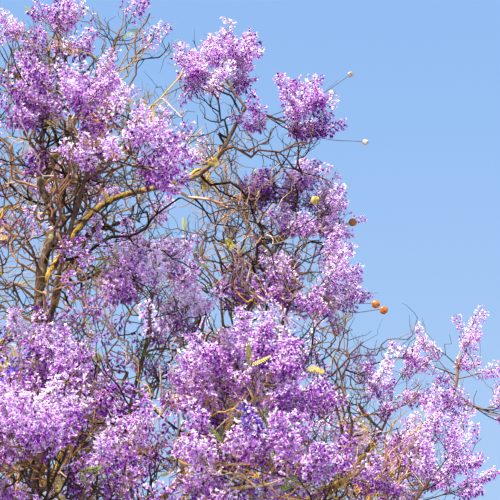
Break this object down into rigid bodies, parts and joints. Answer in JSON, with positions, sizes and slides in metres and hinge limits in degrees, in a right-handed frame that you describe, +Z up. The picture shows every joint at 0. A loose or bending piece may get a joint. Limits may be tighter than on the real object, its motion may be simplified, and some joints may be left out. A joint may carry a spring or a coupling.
{
  "type": "flowering jacaranda tree",
  "caption": "Whole jacaranda tree in full bloom: flared trunk, crooked bare limbs and an open, sparsely leaved crown of violet blossom masses at the tips, with a few round seed pods.",
  "frame": {"origin": "centre of the flat cut under the trunk, at ground level", "axes": "+Z up the trunk, +X towards the low spreading limb at the right, +Y away from the viewer of that side"},
  "size_m": [6.2816, 5.0901, 7.2633],
  "materials": {
    "bark": "rough bark, grey-brown with yellow lichen on the limbs",
    "blossom": "soft matt petals on thin brown twigs"
  },
  "bodies": {
    "root": {"trunk": "bark", "leader": "bark", "diagonal_bough": "bark", "crest_bough": "bark", "upper_front_bough": "bark", "upper_back_bough": "bark", "right_limb": "bark", "shoulder_bough": "bark", "low_right_limb": "bark", "slender_bough": "bark", "low_front_bough": "bark", "front_right_limb": "bark", "inner_bough": "bark", "front_left_limb": "bark", "skirt_bough": "bark", "back_right_limb": "bark", "back_limb": "bark", "far_low_1": "bark", "far_low_2": "bark", "far_low_3": "bark", "far_high_1": "bark", "far_high_2": "bark", "blossom_leader_1": "blossom", "blossom_leader_2": "blossom", "blossom_diagonal_bough_1": "blossom", "blossom_diagonal_bough_2": "blossom", "blossom_crest_bough_1": "blossom", "blossom_upper_front_bough_1": "blossom", "blossom_upper_front_bough_2": "blossom", "blossom_upper_back_bough_1": "blossom", "blossom_upper_back_bough_2": "blossom", "blossom_right_limb_1": "blossom", "blossom_right_limb_2": "blossom", "blossom_shoulder_bough_1": "blossom", "blossom_shoulder_bough_2": "blossom", "blossom_low_right_limb_1": "blossom", "blossom_low_right_limb_2": "blossom", "blossom_slender_bough_1": "blossom", "blossom_slender_bough_2": "blossom", "blossom_low_front_bough_1": "blossom", "blossom_front_right_limb_1": "blossom", "blossom_front_right_limb_2": "blossom", "blossom_inner_bough_1": "blossom", "blossom_front_left_limb_1": "blossom", "blossom_front_left_limb_2": "blossom", "blossom_skirt_bough_1": "blossom", "blossom_back_right_limb_1": "blossom", "blossom_back_right_limb_2": "blossom", "blossom_back_limb_1": "blossom", "blossom_back_limb_2": "blossom", "blossom_far_low_1_1": "blossom", "blossom_far_low_1_2": "blossom", "blossom_far_low_2_1": "blossom", "blossom_far_low_2_2": "blossom", "blossom_far_low_3_1": "blossom", "blossom_far_low_3_2": "blossom", "blossom_far_high_1_1": "blossom", "blossom_far_high_1_2": "blossom", "blossom_far_high_2_1": "blossom", "blossom_far_high_2_2": "blossom"}
  },
  "joints": []
}
